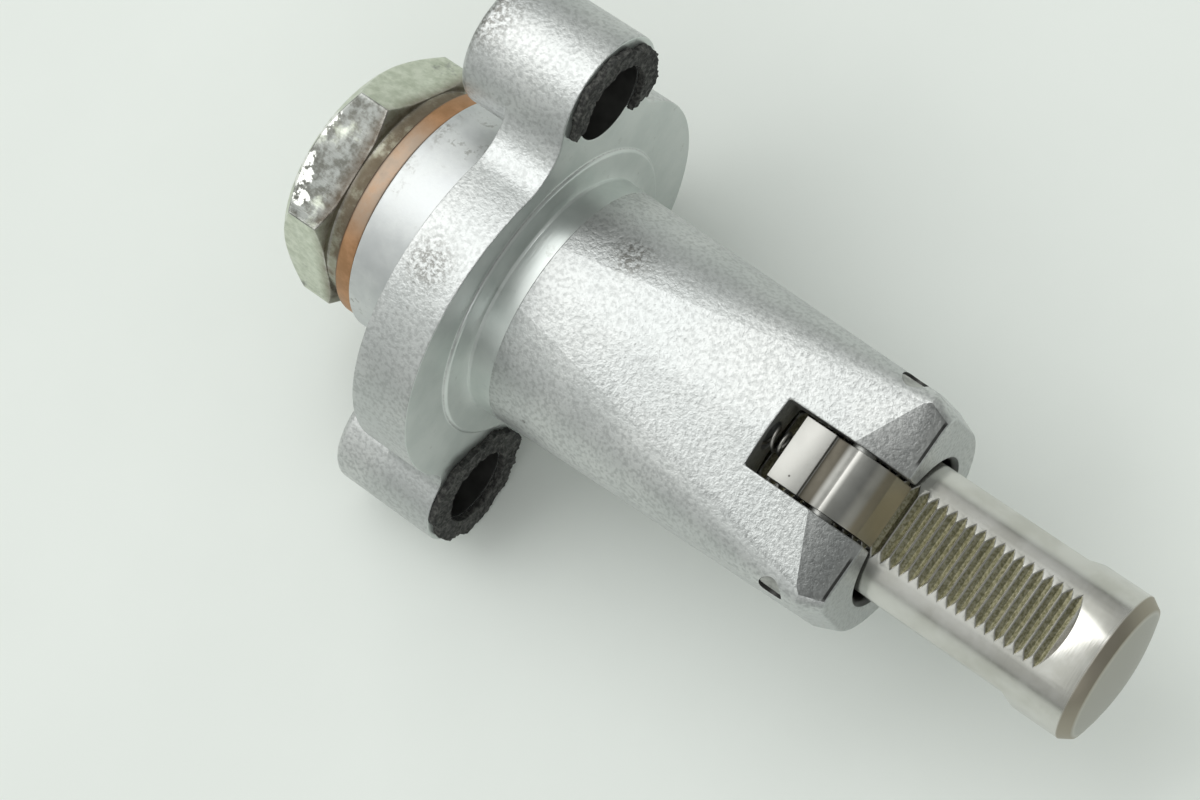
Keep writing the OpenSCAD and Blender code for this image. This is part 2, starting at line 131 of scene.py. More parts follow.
def welded_copy(node, name, flat_angle=0.0):
    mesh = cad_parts[node].data.copy()
    mesh.materials.clear()
    piece = bpy.data.objects.new(name, mesh)
    bpy.context.scene.collection.objects.link(piece)
    activate(piece)
    bpy.ops.mesh.customdata_custom_splitnormals_clear()
    bpy.ops.object.mode_set(mode="EDIT")
    bpy.ops.mesh.select_all(action="SELECT")
    bpy.ops.mesh.remove_doubles(threshold=WELD_DISTANCE)
    if flat_angle:
        bpy.ops.mesh.dissolve_limited(angle_limit=flat_angle)
    bpy.ops.object.mode_set(mode="OBJECT")
    return piece


def apply_modifier(piece, kind, **settings):
    activate(piece)
    modifier = piece.modifiers.new(kind.lower(), kind)
    for key, value in settings.items():
        setattr(modifier, key, value)
    bpy.ops.object.modifier_apply(modifier=modifier.name)


def bevel_edges(piece, width, degrees, segments=2):
    apply_modifier(piece, "BEVEL", width=width, segments=segments, limit_method="ANGLE",
                   angle_limit=math.radians(degrees))


def shade_by_angle(piece, degrees):
    activate(piece)
    bpy.ops.object.shade_smooth_by_angle(angle=math.radians(degrees))


def stand_for(piece, node, body, material):
    piece.data.materials.clear()
    piece.data.materials.append(material)
    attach(piece, body)
    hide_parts(node)
    print(piece.name, "has", len(piece.data.polygons), "faces")


print("modelling helpers are ready")

# %% [markdown]
# Small helpers for finishes
#
# Every finish is worked out by nodes from the piece's own Object coordinates, in metres. A noise
# with a scale of 1000 has grains of about a millimetre. These helpers keep the recipes short.

# %% Finish helpers
EDGE_STARTS = 0.985
EDGE_IS_WORN = 0.86
EDGE_SAMPLES = 4


class Finish:
    def __init__(self, name, base, metallic, roughness):
        self.material = bpy.data.materials.new(name)
        self.material.use_nodes = True
        self.tree = self.material.node_tree
        self.shader = self.tree.nodes["Principled BSDF"]
        self.shader.inputs["Base Color"].default_value = (*base, 1)
        self.shader.inputs["Metallic"].default_value = metallic
        self.shader.inputs["Roughness"].default_value = roughness
        self.coords = self.tree.nodes.new("ShaderNodeTexCoord").outputs["Object"]

    def put(self, socket, value):
        if isinstance(value, bpy.types.NodeSocket):
            self.tree.links.new(value, socket)
        else:
            socket.default_value = value

    def stretched(self, scale):
        node = self.tree.nodes.new("ShaderNodeMapping")
        node.inputs["Scale"].default_value = scale
        self.put(node.inputs["Vector"], self.coords)
        return node.outputs["Vector"]

    def noise(self, scale, detail=3.0, roughness=0.5, vector=None):
        node = self.tree.nodes.new("ShaderNodeTexNoise")
        self.put(node.inputs["Vector"], vector or self.coords)
        node.inputs["Scale"].default_value = scale
        node.inputs["Detail"].default_value = detail
        node.inputs["Roughness"].default_value = roughness
        return node.outputs["Fac"]

    def cells(self, scale):
        node = self.tree.nodes.new("ShaderNodeTexVoronoi")
        self.put(node.inputs["Vector"], self.coords)
        node.inputs["Scale"].default_value = scale
        return node.outputs["Distance"]

    def sums(self, operation, a, b=0.0):
        node = self.tree.nodes.new("ShaderNodeMath")
        node.operation = operation
        self.put(node.inputs[0], a)
        self.put(node.inputs[1], b)
        return node.outputs[0]

    def band(self, value, low, high, start=0.0, end=1.0):
        node = self.tree.nodes.new("ShaderNodeMapRange")
        node.interpolation_type = "SMOOTHSTEP"
        self.put(node.inputs["Value"], value)
        node.inputs["From Min"].default_value = low
        node.inputs["From Max"].default_value = high
        node.inputs["To Min"].default_value = start
        node.inputs["To Max"].default_value = end
        return node.outputs["Result"]

    def axis(self, letter):
        node = self.tree.nodes.new("ShaderNodeSeparateXYZ")
        self.put(node.inputs[0], self.coords)
        return node.outputs[letter]

    def away_from(self, centre):
        node = self.tree.nodes.new("ShaderNodeVectorMath")
        node.operation = "DISTANCE"
        self.put(node.inputs[0], self.coords)
        node.inputs[1].default_value = [c * MM for c in centre]
        return node.outputs["Value"]

    def from_rod_axis(self):
        node = self.tree.nodes.new("ShaderNodeVectorMath")
        node.operation = "LENGTH"
        self.put(node.inputs[0], self.stretched((0, 1, 1)))
        return node.outputs["Value"]

    def along(self, direction):
        node = self.tree.nodes.new("ShaderNodeVectorMath")
        node.operation = "DOT_PRODUCT"
        self.put(node.inputs[0], self.coords)
        node.inputs[1].default_value = direction
        return node.outputs["Value"]

    def smudge(self, centre, radius, grain):
        near = self.band(self.away_from(centre), radius * 0.25 * MM, radius * MM, 1.0, 0.0)
        return self.sums("MULTIPLY", near, grain)

    def colour(self, amount, first, second):
        node = self.tree.nodes.new("ShaderNodeMix")
        node.data_type = "RGBA"
        colour_a = [s for s in node.inputs if s.name == "A" and s.type == "RGBA"][0]
        colour_b = [s for s in node.inputs if s.name == "B" and s.type == "RGBA"][0]
        self.put(node.inputs[0], amount)
        self.put(colour_a, (*first, 1) if isinstance(first, tuple) else first)
        self.put(colour_b, (*second, 1) if isinstance(second, tuple) else second)
        return [s for s in node.outputs if s.type == "RGBA"][0]

    def edge_wear(self, radius):
        rounded = self.tree.nodes.new("ShaderNodeBevel")
        rounded.inputs["Radius"].default_value = radius
        rounded.samples = EDGE_SAMPLES
        plain = self.tree.nodes.new("ShaderNodeNewGeometry").outputs["Normal"]
        node = self.tree.nodes.new("ShaderNodeVectorMath")
        node.operation = "DOT_PRODUCT"
        self.put(node.inputs[0], rounded.outputs["Normal"])
        self.put(node.inputs[1], plain)
        return self.band(node.outputs["Value"], EDGE_STARTS, EDGE_IS_WORN, 0.0, 1.0)

    def bump(self, height, distance):
        node = self.tree.nodes.new("ShaderNodeBump")
        node.inputs["Strength"].default_value = 1.0
        node.inputs["Distance"].default_value = distance
        self.put(node.inputs["Height"], height)
        return node.outputs["Normal"]

    def wear(self, base=None, roughness=None, normal=None):
        for name, value in (("Base Color", base), ("Roughness", roughness), ("Normal", normal)):
            if value is not None:
                self.put(self.shader.inputs[name], value)
        return self.material


print("finish helpers are ready")

# %% [markdown]
# The casting's skin
#
# The housing was cast and then blasted, which leaves a fine skin of light and dark grains that
# glitters a little. It could be sculpted, but a grain is a fifth of a millimetre, so it is colour
# and bump. Handling has left grey smudges, each at a listed place, and a few dark specks.
# The two cut slopes on the nose get the same skin darkened as painted shade, made lighter towards
# the front by painted light, with a fine dark line of painted shadow at their front edge.

# %% Cast aluminium
# Each smudge is given by its centre and its radius in millimetres.
CAST_SMUDGES = [
    ((7.3, 4.9, 8.7), 2.4),
    ((-3.0, -3.7, 14.0), 3.2),
    ((-10.0, 13.5, 17.0), 4.5),
    ((-6.5, 9.0, 10.5), 3.0),
    ((17.0, 6.5, 7.4), 1.4),
]
CAST_BUMP = 0.038 * MM
# Painted shade: the nose slopes get the skin at half its brightness.
SLOPE_PAINTED_SHADE = 0.50
# Painted light: the slopes turn lighter towards their front edge.
SLOPE_PAINTED_LIGHT_SPAN = (31.9 * MM, 33.1 * MM)
SLOPE_FRONT_PAINTED_LIGHT = (0.464, 0.472, 0.456)
# Painted shadow: a fine dark line along the slopes' front edge.
SLIT_PAINTED_SHADOW = (0.03, 0.03, 0.028)
SLIT_SHADOW_REAR_EDGE = (32.82 * MM, 32.90 * MM)
SLIT_SHADOW_INNER_END = (3.7 * MM, 4.3 * MM)
SLIT_SHADOW_OUTER_END = (7.9 * MM, 7.3 * MM)


# The second argument scales the skin's colours, so a value below 1 paints shade; the third adds painted
# light and a painted shadow line for the nose slopes.
def cast_aluminium(name, painted_shade_scale, slope=False):
    f = Finish(name, (0.62 * painted_shade_scale, 0.63 * painted_shade_scale, 0.62 * painted_shade_scale), 0.9, 0.42)
    pebbles = f.noise(3100, 2.0, 0.55)
    grains = f.noise(7000, 1.0, 0.6)
    patches = f.noise(110, 3.0, 0.55)
    grime = f.band(f.noise(3000, 3.0, 0.7), 0.42, 0.60)
    smudges = 0.0
    for centre, radius in CAST_SMUDGES:
        smudges = f.sums("MAXIMUM", smudges, f.smudge(centre, radius, grime))
    few = f.band(f.noise(130, 1.0), 0.60, 0.64)
    specks = f.sums("MULTIPLY", f.band(f.cells(300), 0.07, 0.04), few)
    stain = f.sums("MAXIMUM", f.sums("MULTIPLY", smudges, 0.75), f.sums("MULTIPLY", specks, 0.7))
    dull = tuple(painted_shade_scale * c for c in (0.52, 0.535, 0.53))
    clean = tuple(painted_shade_scale * c for c in (0.64, 0.65, 0.64))
    valleys = tuple(painted_shade_scale * c for c in (0.36, 0.37, 0.365))
    bright = f.colour(f.band(patches, 0.35, 0.7), dull, clean)
    skin = f.colour(f.band(pebbles, 0.32, 0.60, 0.60, 0.0), bright, valleys)
    base = f.colour(stain, skin, (0.13, 0.125, 0.11))
    # Painted light lightens the slopes towards the front, and a dark line of painted shadow runs along
    # their front edge.
    if slope:
        along = f.axis("X")
        across = f.sums("ABSOLUTE", f.axis("Y"))
        painted_front_light = f.colour(f.band(along, *SLOPE_PAINTED_LIGHT_SPAN, 0.0, 0.3), base, SLOPE_FRONT_PAINTED_LIGHT)
        ends = f.sums("MULTIPLY", f.band(across, *SLIT_SHADOW_INNER_END), f.band(across, *SLIT_SHADOW_OUTER_END))
        line = f.sums("MULTIPLY", ends, f.band(along, *SLIT_SHADOW_REAR_EDGE))
        base = f.colour(f.sums("MULTIPLY", line, 0.9), painted_front_light, SLIT_PAINTED_SHADOW)
    height = f.sums("ADD", pebbles, f.sums("MULTIPLY", grains, 0.4))
    return f.wear(base, f.band(patches, 0.3, 0.7, 0.36, 0.44), f.bump(height, CAST_BUMP))


cast_skin = cast_aluminium("cast_aluminium_skin", 1.0)
# The nose slopes get a copy of the skin darkened as painted shade.
painted_shade_slope_skin = cast_aluminium("nose_slope_skin", SLOPE_PAINTED_SHADE, True)
print("made", cast_skin.name, "and", painted_shade_slope_skin.name)

# %% [markdown]
# Machined faces, and oily faces with painted shade, of the housing
#
# The mounting face and the seat were turned on a lathe, so they are smooth, with faint lines round
# the barrel. The lines could be cut into the mesh, but a noise that is squeezed along the rod's axis
# is lighter and as fine. The rear cylinder is turned too, but dull, and dirt has gathered on it
# along the washer. The slot and the bores are dark with oil, and they are painted nearly black as
# painted shade inside them.

# %% Machined aluminium, and oily bore with painted shade
washer_low, washer_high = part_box("sealing_washer")
DIRT_WIDTH = 1.4 * MM
DIRTY_SIDE = 5.0 * MM


def machined_aluminium():
    f = Finish("machined_aluminium", (0.62, 0.65, 0.63), 0.86, 0.30)
    rings = f.noise(1.0, 2.0, 0.6, f.stretched((5200, 260, 260)))
    patches = f.noise(230, 4.0, 0.6)
    stain = f.band(f.noise(700, 5.0, 0.7), 0.6, 0.8, 0.0, 0.5)
    bright = f.colour(f.band(patches, 0.3, 0.7), (0.58, 0.62, 0.60), (0.69, 0.72, 0.70))
    base = f.colour(stain, bright, (0.25, 0.25, 0.22))
    return f.wear(base, f.band(patches, 0.3, 0.7, 0.28, 0.40), f.bump(rings, 0.008 * MM))


def dull_turned_aluminium():
    f = Finish("dull_turned_aluminium", (0.64, 0.66, 0.67), 0.9, 0.48)
    patches = f.noise(330, 4.0, 0.6)
    grit = f.noise(1900, 4.0, 0.7)
    bright = f.colour(f.band(patches, 0.3, 0.7), (0.56, 0.575, 0.58), (0.70, 0.715, 0.71))
    by_washer = f.band(f.axis("X"), washer_high.x + DIRT_WIDTH, washer_high.x)
    upper_side = f.band(f.axis("Y"), 0.0, DIRTY_SIDE, 0.12, 1.0)
    in_patches = f.sums("MULTIPLY", upper_side, f.band(patches, 0.44, 0.58, 0.1, 1.0))
    dirt = f.sums("MULTIPLY", f.sums("MULTIPLY", by_washer, in_patches), f.band(grit, 0.40, 0.64))
    few = f.sums("MULTIPLY", f.band(patches, 0.52, 0.66), f.band(grit, 0.52, 0.62, 0.0, 0.45))
    base = f.colour(f.sums("MAXIMUM", dirt, few), bright, (0.16, 0.15, 0.12))
    return f.wear(base, f.band(patches, 0.3, 0.7, 0.42, 0.54), f.bump(grit, 0.012 * MM))


# The bores, holes and slot are painted nearly black: oil, and painted shade inside them.
def oily_bore_painted_shade():
    f = Finish("oily_bore_painted_shade", (0.06, 0.06, 0.055), 0.6, 0.4)
    patches = f.noise(500, 4.0, 0.6)
    base = f.colour(patches, (0.015, 0.015, 0.014), (0.09, 0.09, 0.085))
    return f.wear(base, f.band(patches, 0.3, 0.7, 0.35, 0.5), f.bump(patches, 0.02 * MM))


machined_face = machined_aluminium()
rear_face = dull_turned_aluminium()
oily_shaded_wall = oily_bore_painted_shade()
print("made", machined_face.name, rear_face.name, "and", oily_shaded_wall.name)

# %% [markdown]
# The housing
#
# A casting has no knife edges: where faces meet, the metal runs round a small radius. A voxel
# remesh would round everything, the cleanly cut slot too. A narrow bevel on the sharp edges of the
# welded copy keeps the slot square and still gives each edge a line of light. Edges stay sharp where
# a bevel would fold over itself: in the seat's corner, round the pin, and where the flange's rear
# edge runs out on a boss. The corner where the barrel rises from its seat is turned with a small
# tool, so its points are drawn into the corner.

# %% Soft edges and the seat's corner
EDGE_WIDTH = 0.14 * MM
SHARP_ANGLE = math.radians(28)
FLAT_ANGLE = math.radians(0.05)
REGISTER_HEIGHT = 0.3 * MM
ROOT_RADIUS = 10.15 * MM
CORNER_SIZE = 1.9 * MM
CORNER_PULL = 2.2
PIN_CENTRE = (29.2 * MM, 7.2 * MM)
PIN_MOUTH_RADIUS = 1.7 * MM
FLANGE_REAR = -5.0 * MM
BOLT_CENTRES = [(13.2 * MM, 12.1 * MM), (-15.5 * MM, -9.7 * MM)]
BOSS_REACH = 5.7 * MM
FLANGE_EDGE_REACH = 0.6 * MM
SHOULDER_SIDE = 0.7 * ROOT_RADIUS
SEAT_MARGIN = 0.1 * MM
BAND_FRONT = 2.5 * MM


def tighten_corner(piece):
    for vertex in piece.data.vertices:
        x, y, z = vertex.co
        from_axis = math.hypot(y, z)
        run = (x - REGISTER_HEIGHT) / CORNER_SIZE
        rise = (from_axis - ROOT_RADIUS) / CORNER_SIZE
        if 0 < run < 1 and 0 < rise < 1:
            stretch = (ROOT_RADIUS + CORNER_SIZE * rise ** CORNER_PULL) / from_axis
            vertex.co = (REGISTER_HEIGHT + CORNER_SIZE * run ** CORNER_PULL, y * stretch, z * stretch)


def stays_sharp(place):
    from_axis = math.hypot(place.y, place.z)
    by_seat = REGISTER_HEIGHT - SEAT_MARGIN < place.x < BAND_FRONT
    in_corner = by_seat and from_axis < ROOT_RADIUS + CORNER_SIZE
    from_pin = math.hypot(place.x - PIN_CENTRE[0], place.z - PIN_CENTRE[1])
    at_pin = from_pin < PIN_MOUTH_RADIUS and abs(place.y) > SHOULDER_SIDE
    from_boss = min(math.hypot(place.y - a, place.z - b) for a, b in BOLT_CENTRES)
    at_boss = abs(place.x - FLANGE_REAR) < FLANGE_EDGE_REACH and from_boss < BOSS_REACH
    return in_corner or at_pin or at_boss


def soften_edges(piece, width):
    activate(piece)
    bpy.ops.object.mode_set(mode="EDIT")
    bpy.ops.mesh.select_mode(type="EDGE")
    bpy.ops.mesh.select_all(action="DESELECT")
    bpy.ops.mesh.edges_select_sharp(sharpness=SHARP_ANGLE)
    bpy.ops.object.mode_set(mode="OBJECT")
    points = piece.data.vertices
    for edge in piece.data.edges:
        if any(stays_sharp(points[i].co) for i in edge.vertices):
            edge.select = False
    bpy.ops.object.mode_set(mode="EDIT")
    bpy.ops.mesh.bevel(offset=width, segments=2, clamp_overlap=False)
    bpy.ops.object.mode_set(mode="OBJECT")


housing = welded_copy("tensioner_body", "cast_housing", FLAT_ANGLE)
tighten_corner(housing)
soften_edges(housing, EDGE_WIDTH)
print("softened housing has", len(housing.data.polygons), "faces")

# %% [markdown]
# The turned band
#
# Round its root the barrel was turned clean for the hole that it fits in, so the cast skin stops
# short of the seat. The band could be marked by a finish alone, but the barrel's flat facets would
# show in its mirror. A fine cylinder, given a wall and soft ends, is joined to the housing instead.

# %% Turned band
BAND_REAR = 0.1 * MM
BAND_HEIGHT = 0.04 * MM
BAND_THICKNESS = 0.5 * MM
BAND_POINTS = 180
BAND_EDGE = 0.03 * MM
HOUSING_SMOOTH_DEGREES = 40


def turned_band():
    bpy.ops.object.select_all(action="DESELECT")
    bpy.ops.mesh.primitive_cylinder_add(vertices=BAND_POINTS, radius=ROOT_RADIUS + BAND_HEIGHT,
                                        depth=BAND_FRONT - BAND_REAR, end_fill_type="NOTHING",
                                        location=((BAND_FRONT + BAND_REAR) / 2, 0, 0),
                                        rotation=(0, math.pi / 2, 0))
    band = bpy.context.active_object
    band.name = "turned_band"
    bpy.ops.object.transform_apply(location=True, rotation=True, scale=True)
    apply_modifier(band, "SOLIDIFY", thickness=BAND_THICKNESS, offset=-1.0)
    bevel_edges(band, BAND_EDGE, ROUND_DEGREES)
    return band


band = turned_band()
activate(housing)
band.select_set(True)
bpy.ops.object.join()
shade_by_angle(housing, HOUSING_SMOOTH_DEGREES)
apply_modifier(housing, "WEIGHTED_NORMAL", weight=50, keep_sharp=True)
print("housing with its band has", len(housing.data.polygons), "faces")

# %% [markdown]
# Which finish goes where on the housing
#
# One casting has several finishes. Cutting it into pieces would leave seams, so the faces of one mesh
# choose among five materials. Each face gets its finish by where it lies: turned faces are machined,
# the rear cylinder is dull, the walls of the bores, holes and slot are oily and carry painted shade,
# and the two cut slopes on the nose carry painted shade and painted light.

# %% Housing finishes
BORE_RADIUS = 7.2 * MM
FACE_START = -0.2 * MM
SEAT_START = 0.1 * MM
SEAT_END = 2.3 * MM
SEAT_RADIUS = 13.0 * MM
REAR_RADIUS = 10.6 * MM
BOLT_HOLE_RADIUS = 3.3 * MM
PIN_HOLE_RADIUS = 1.2 * MM
SLOPE_REAR = 28.0 * MM
# Index 2 carries oil and painted shade, and index 3 the slopes' painted shade and light.
MACHINED, OILY_SHADED, SLOPE, REAR = 1, 2, 3, 4

stand_for(housing, "tensioner_body", "housing", cast_skin)
for finish in (machined_face, oily_shaded_wall, painted_shade_slope_skin, rear_face):
    housing.data.materials.append(finish)


def is_machined(face):
    x, y, z = face.center
    from_axis = math.hypot(y, z)
    faces_engine = face.normal.x > 0.8 and FACE_START < x < SEAT_END
    on_seat = SEAT_START < x < SEAT_END and from_axis < SEAT_RADIUS
    return faces_engine or on_seat


def is_rear(face):
    x, y, z = face.center
    return x < FLANGE_REAR and math.hypot(y, z) < REAR_RADIUS and abs(face.normal.x) < 0.5


def faces_axis(face, from_axis, radius):
    return from_axis.length < radius and from_axis.normalized().dot(face.normal) < -0.8


# Walls of the bores, bolt holes and pin hole, which get oil and painted shade.
def is_oily_and_shaded(face):
    x, y, z = face.center
    inward = Vector((0, y, z)).normalized().dot(face.normal) < 0.1
    in_bore = inward and math.hypot(y, z) < BORE_RADIUS and abs(face.normal.x) < 0.9
    in_hole = any(faces_axis(face, Vector((0, y - a, z - b)), BOLT_HOLE_RADIUS) for a, b in BOLT_CENTRES)
    from_pin = Vector((x - PIN_CENTRE[0], 0, z - PIN_CENTRE[1]))
    return in_bore or in_hole or faces_axis(face, from_pin, PIN_HOLE_RADIUS)


def is_slope(face):
    on_nose = face.center.x > SLOPE_REAR and face.center.z > PIN_CENTRE[1]
    return on_nose and 0.15 < face.normal.x < 0.45 and face.normal.z > 0.8


for face in housing.data.polygons:
    if is_oily_and_shaded(face):
        face.material_index = OILY_SHADED
    elif is_machined(face):
        face.material_index = MACHINED
    elif is_rear(face):
        face.material_index = REAR
    elif is_slope(face):
        face.material_index = SLOPE
used = [face.material_index for face in housing.data.polygons]
print("faces of each finish:", [used.count(index) for index in range(REAR + 1)])

# %% [markdown]
# The push rod
#
# The rod is hardened and ground, so it shines. Its rack is milled and holds old oil in the grooves,
# while the crests are rubbed bright. Its end face is satin, with a brown chamfer. The teeth are in
# the solid already, but too sharp to catch light. A fine bevel on the welded copy gives every tooth
# and edge a crest that does, and the finish tells grooves from crests by their height.

# %% Push rod
TIP_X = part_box("push_rod")[1].x
ROD_EDGE = 0.04 * MM
ROD_RADIUS = 6.0 * MM
RACK_CREST = 5.53 * MM
RACK_ROOT = 5.12 * MM
RACK_END = (TIP_X - 3.8 * MM, TIP_X - 4.1 * MM)
CHAMFER_STARTS = (TIP_X - 1.75 * MM, TIP_X - 1.55 * MM)
END_FACE_STARTS = (TIP_X - 0.80 * MM, TIP_X - 0.65 * MM)


def ground_steel():
    f = Finish("ground_steel", (0.60, 0.59, 0.56), 1.0, 0.22)
    along = f.axis("X")
    height = f.axis("Z")
    lines = f.noise(1.0, 3.0, 0.6, f.stretched((9000, 500, 500)))
    patches = f.noise(260, 4.0, 0.6)
    crumbs = f.noise(4500, 3.0, 0.6)
    low = f.band(height, RACK_CREST - 0.03 * MM, RACK_CREST - 0.12 * MM)
    in_groove = f.band(f.from_rod_axis(), ROD_RADIUS - 0.04 * MM, ROD_RADIUS - 0.10 * MM)
    above = f.band(height, RACK_ROOT - 0.30 * MM, RACK_ROOT - 0.10 * MM)
    on_rack = f.sums("MULTIPLY", above, f.band(along, *RACK_END))
    oil = f.sums("MULTIPLY", f.sums("MULTIPLY", low, in_groove), on_rack)
    chamfer = f.sums("MULTIPLY", f.band(along, *CHAMFER_STARTS),
                     f.band(along, *reversed(END_FACE_STARTS)))
    end_face = f.band(along, *END_FACE_STARTS)
    steel = f.colour(f.band(patches, 0.35, 0.65), (0.54, 0.53, 0.49), (0.66, 0.65, 0.62))
    grease = f.colour(f.band(crumbs, 0.35, 0.65), (0.22, 0.21, 0.13), (0.44, 0.42, 0.31))
    oiled = f.colour(oil, steel, grease)
    browned = f.colour(f.sums("MULTIPLY", chamfer, 0.8), oiled, (0.33, 0.29, 0.22))
    base = f.colour(f.sums("MULTIPLY", end_face, 0.8), browned, (0.36, 0.35, 0.315))
    dull = f.sums("MAXIMUM", f.sums("MULTIPLY", oil, 0.25), f.sums("MULTIPLY", end_face, 0.22))
    matt = f.sums("MAXIMUM", dull, f.sums("MULTIPLY", chamfer, 0.3))
    rough = f.sums("ADD", f.band(patches, 0.3, 0.7, 0.17, 0.25), matt)
    return f.wear(base, rough, f.bump(lines, 0.004 * MM))


rod = welded_copy("push_rod", "push_rod_ground", PLANE_ANGLE)
bevel_edges(rod, ROD_EDGE, 25)
shade_by_angle(rod, SMOOTH_DEGREES)
stand_for(rod, "push_rod", "rod", ground_steel())

# %% [markdown]
# The ratchet pawl
#
# The pawl is a small block of hardened steel, ground on top. Its finish is made of bands along it:
# its hollow is dark, its ridge has a painted highlight, its crown a dark and a light painted
# reflection, and its front slope is browned where it meets the rack. It could be split into pieces
# with a colour each, but it needs only fine bevels and a finish whose tints change along it.

# %% Ratchet pawl
PAWL_EDGE = 0.08 * MM
PAWL_TAIL_TINT = (0.50, 0.495, 0.47)
PAWL_PIT = (26.1, -1.7, 8.9)
# Each band comes in between two places along the pawl, in millimetres: the dark hollow, the painted
# highlight on the ridge, the dark and the light painted reflection on the crown, and the brown front.
PAWL_TINT_AND_PAINTED_LIGHT_BANDS = [
    (27.30, 27.42, (0.11, 0.10, 0.08)),
    (28.20, 28.75, (0.62, 0.61, 0.58)),
    (29.30, 29.75, (0.25, 0.25, 0.235)),
    (30.70, 31.30, (0.44, 0.43, 0.39)),
    (31.40, 31.90, (0.32, 0.285, 0.21)),
]


def satin_steel():
    f = Finish("satin_steel", PAWL_TAIL_TINT, 1.0, 0.38)
    along = f.axis("X")
    lines = f.noise(1.0, 3.0, 0.6, f.stretched((900, 9000, 900)))
    patches = f.noise(450, 4.0, 0.6)
    shaded = PAWL_TAIL_TINT
    # Bands of tint along the pawl: a dark hollow, a painted highlight, a dark and a light painted
    # reflection, then brown.
    for start, end, tint in PAWL_TINT_AND_PAINTED_LIGHT_BANDS:
        shaded = f.colour(f.band(along, start * MM, end * MM), shaded, tint)
    pit = f.band(f.away_from(PAWL_PIT), 0.05 * MM, 0.11 * MM, 0.9, 0.0)
    grained = f.colour(f.band(patches, 0.3, 0.7, 0.18, 0.0), shaded, (0.10, 0.09, 0.075))
    base = f.colour(pit, grained, (0.08, 0.075, 0.07))
    return f.wear(base, f.band(patches, 0.3, 0.7, 0.38, 0.50), f.bump(lines, 0.006 * MM))


pawl = welded_copy("ratchet_pawl", "ratchet_pawl_ground", PLANE_ANGLE)
bevel_edges(pawl, PAWL_EDGE, 25)
shade_by_angle(pawl, SMOOTH_DEGREES)
stand_for(pawl, "ratchet_pawl", "pawl", satin_steel())

# %% [markdown]
# The pivot pin
#
# The pin goes through both shoulders of the slot, and its ends are dressed flush with them. A
# straight cylinder would stand out of their curve or hide inside it, so the points at its two ends
# are moved on to that curve. Its dark, mottled steel serves for the springs too.

# %% Pivot pin
PIN_RADIUS = 1.0 * MM
PIN_LENGTH = 20 * MM
PIN_POINTS = 64
PIN_EDGE = 0.05 * MM
PIN_TINT = (0.50, 0.50, 0.48)
SHOULDER_CENTRE = (7.3 * MM, 6.9 * MM)
SHOULDER_CURVE = 1.6 * MM


def dark_steel(name, tint):
    f = Finish(name, tint, 1.0, 0.35)
    patches = f.noise(800, 4.0, 0.6)
    darker = tuple(0.55 * c for c in tint)
    base = f.colour(f.band(patches, 0.35, 0.65), darker, tint)
    return f.wear(base, f.band(patches, 0.3, 0.7, 0.28, 0.45), f.bump(patches, 0.01 * MM))


bpy.ops.object.select_all(action="DESELECT")
bpy.ops.mesh.primitive_cylinder_add(vertices=PIN_POINTS, radius=PIN_RADIUS, depth=PIN_LENGTH,
                                    end_fill_type="TRIFAN",
                                    location=(PIN_CENTRE[0], 0, PIN_CENTRE[1]),
                                    rotation=(math.pi / 2, 0, 0))
pin = bpy.context.active_object
pin.name = "pawl_pin_worn"
bpy.ops.object.transform_apply(location=True, rotation=True, scale=True)
for vertex in pin.data.vertices:
    rise = max(vertex.co.z - SHOULDER_CENTRE[1], 0)
    reach = SHOULDER_CENTRE[0] + math.sqrt(SHOULDER_CURVE ** 2 - rise ** 2)
    vertex.co.y = math.copysign(reach, vertex.co.y)
bevel_edges(pin, PIN_EDGE, 25)
shade_by_angle(pin, SMOOTH_DEGREES)
stand_for(pin, "pawl_pivot_pin", "housing", dark_steel("pin_steel", PIN_TINT))

# %% [markdown]
# The cap bolt
#
# The hexagon is zinc plated with a greenish tint. Spanners have rubbed its edges, which are made
# bright enough to be a painted highlight as well as wear. One flat is painted dark grey in patches as
# a painted reflection, white spots at its rim are painted glints, and rust has crept up from the
# washer. Wear could be painted by hand, but it follows the edges, so the finish measures how sharply
# the surface turns.

# %% Cap bolt
BOLT_EDGE = 0.22 * MM
# Painted reflection: one flat, facing this way, is painted dark grey in patches.
DARK_REFLECTION_FACET_ANGLE = math.radians(98)
DARK_REFLECTION_FACET = (0, math.cos(DARK_REFLECTION_FACET_ANGLE), math.sin(DARK_REFLECTION_FACET_ANGLE))
DARK_REFLECTION_FACET_REACH = 9.1 * MM
RUST_REACH = (washer_low.x - 3.0 * MM, washer_low.x - 0.9 * MM)
# Each painted glint is given by its centre and its radius in millimetres.
PAINTED_GLINT_SPOTS = [
    ((-18.9, 1.5, 9.4), 1.1),
    ((-18.9, 0.5, 9.2), 1.1),
    ((-18.7, -2.4, 8.8), 1.3),
    ((-18.4, -3.6, 8.7), 1.4),
    ((-17.6, -4.8, 8.5), 1.2),
]


